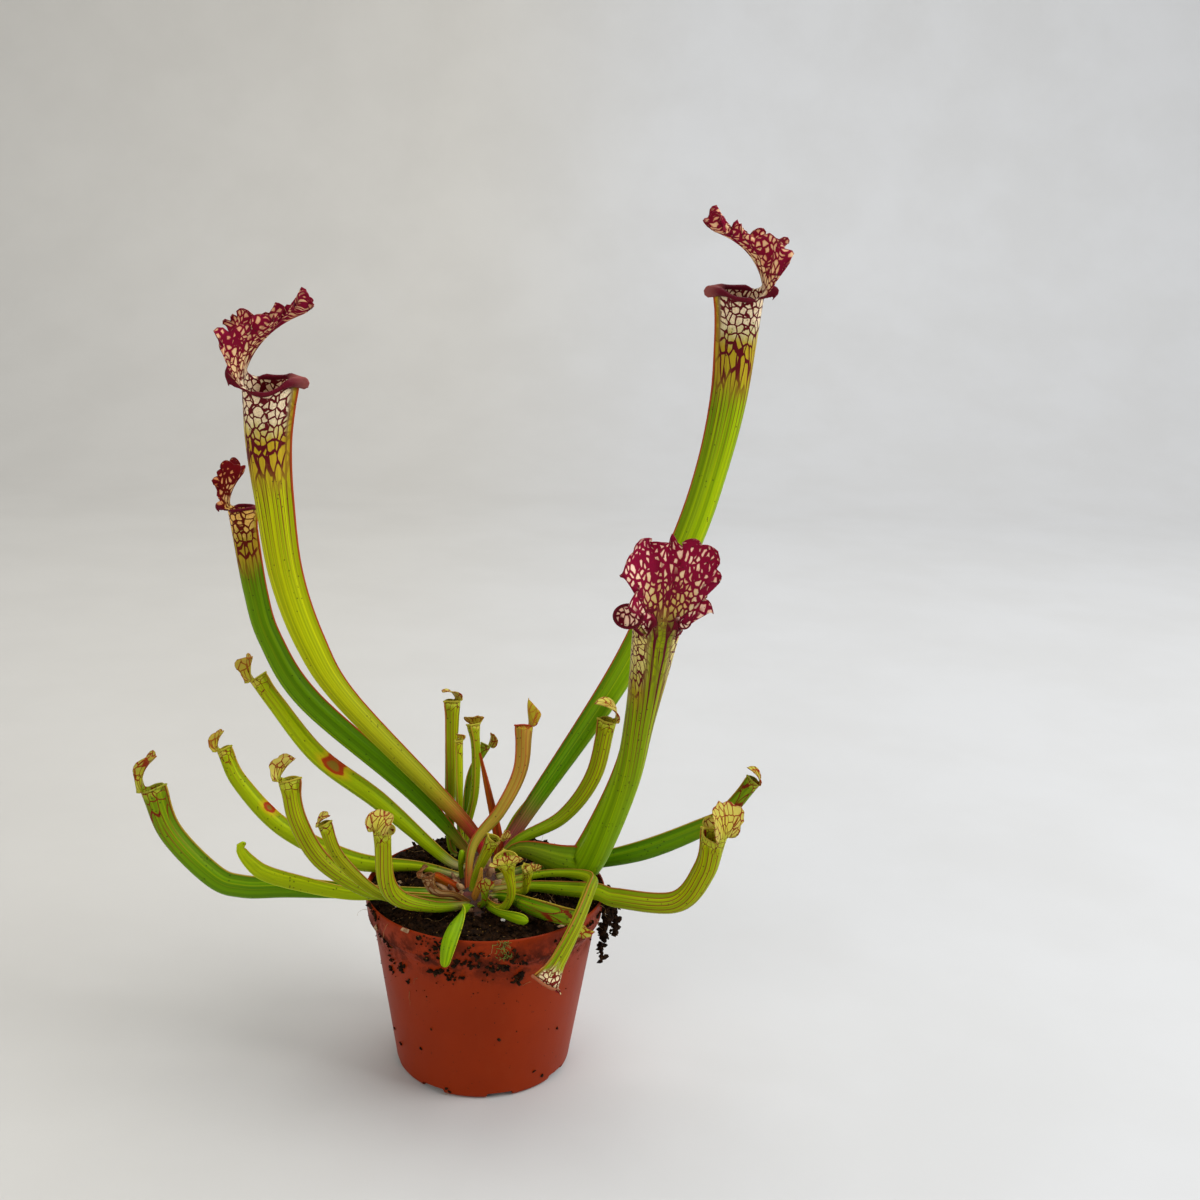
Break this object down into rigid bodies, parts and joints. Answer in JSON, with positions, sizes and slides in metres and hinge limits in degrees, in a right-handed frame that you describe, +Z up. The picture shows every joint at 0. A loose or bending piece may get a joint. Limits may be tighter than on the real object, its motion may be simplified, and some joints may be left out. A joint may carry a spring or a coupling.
{
  "type": "potted pitcher plant",
  "caption": "Carnivorous pitcher plant with tall curved hooded tube leaves and small ones round them, growing from a peat-filled terracotta-brown plastic nursery pot.",
  "frame": {"origin": "centre of the flat underside of the pot", "axes": "+Z up along the pot's axis, +X to the right of the front view, +Y away from the front view"},
  "size_m": [0.301, 0.1402, 0.4224],
  "materials": {
    "pot": "satin",
    "soil": "matte",
    "crown": "matte",
    "leaf_green": "satin",
    "leaf_yellow_green": "satin",
    "leaf_amber": "satin",
    "leaf_dry": "matte",
    "leaf_red": "satin"
  },
  "bodies": {
    "root": {"pot": "pot", "soil": "soil", "crown": "crown", "pitcher_tall_left": "leaf_yellow_green", "pitcher_rear_left": "leaf_green", "pitcher_tall_right": "leaf_yellow_green", "pitcher_broad_front": "leaf_green", "pitcher_leaning_left": "leaf_yellow_green", "pitcher_low_left": "leaf_yellow_green", "pitcher_spread_left": "leaf_green", "pitcher_upturned_left": "leaf_green", "pitcher_small_left": "leaf_yellow_green", "pitcher_front_left": "leaf_yellow_green", "pitcher_rear_slim": "leaf_green", "pitcher_rear_bud": "leaf_yellow_green", "pitcher_rear_mid": "leaf_yellow_green", "pitcher_rear_brown": "leaf_green", "pitcher_rear_amber": "leaf_amber", "pitcher_striped_right": "leaf_green", "pitcher_spread_right": "leaf_green", "pitcher_low_right": "leaf_green", "pitcher_small_front": "leaf_yellow_green", "pitcher_second_front": "leaf_yellow_green", "pitcher_front_right": "leaf_green", "pitcher_hanging_front": "leaf_green", "pitcher_curled_centre": "leaf_green", "pitcher_small_centre": "leaf_green", "pitcher_dry_tan": "leaf_dry", "leaf_hooked_left": "leaf_yellow_green", "leaf_pale_rear": "leaf_green", "leaf_paddle_front": "leaf_green", "leaf_blunt_front": "leaf_green", "leaf_bud_lime": "leaf_yellow_green", "leaf_dry_orange": "leaf_dry", "leaf_stub_red": "leaf_red", "leaf_spikes_red": "leaf_red"}
  },
  "joints": []
}
